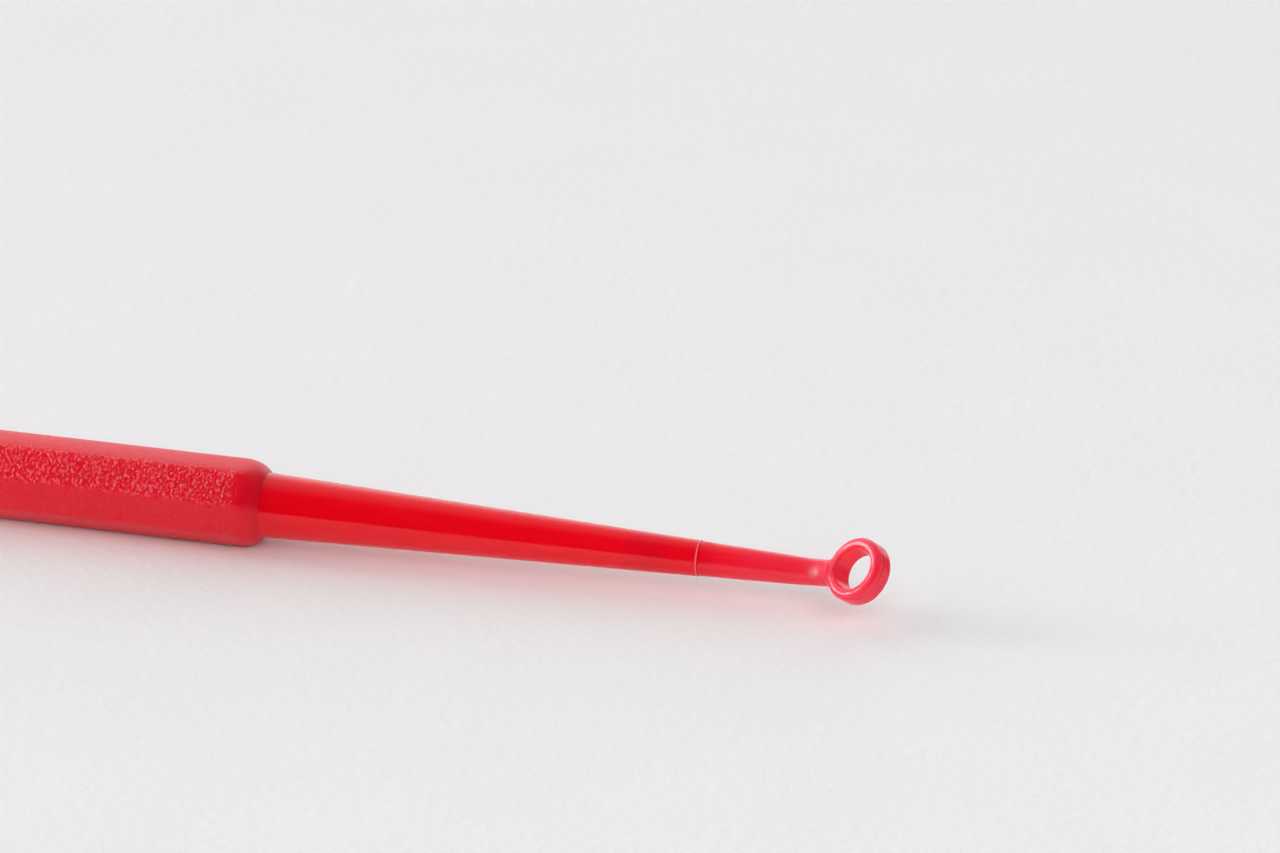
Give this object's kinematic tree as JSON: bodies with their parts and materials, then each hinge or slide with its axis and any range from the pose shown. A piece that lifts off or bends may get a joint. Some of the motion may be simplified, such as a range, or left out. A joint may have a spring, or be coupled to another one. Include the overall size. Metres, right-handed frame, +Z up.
{
  "type": "loop curette",
  "caption": "Slim eight-sided grained plastic grip with a ribbed panel, stepping down to a tapered round shaft that ends in a small tilted ring.",
  "frame": {"origin": "on the surface that the tool lies on, under the middle of its overall length and on the line below the handle's axis", "axes": "+X along the handle from the butt to the ring, +Z up from the flat that the handle rests on; the ring and the ribbed panel face between -Y and +Z"},
  "size_m": [0.152, 0.0054, 0.0052],
  "materials": {
    "grained_grip": "red translucent plastic with a fine spark-eroded grain, semi-matt",
    "polished_shaft": "red translucent plastic, smooth and glossy",
    "polished_tip": "red translucent plastic, smooth and glossy, paler where it is thin"
  },
  "bodies": {
    "root": {"handle": "grained_grip", "shaft": "polished_shaft", "tip_stem": "polished_tip", "loop": "polished_tip"}
  },
  "joints": []
}
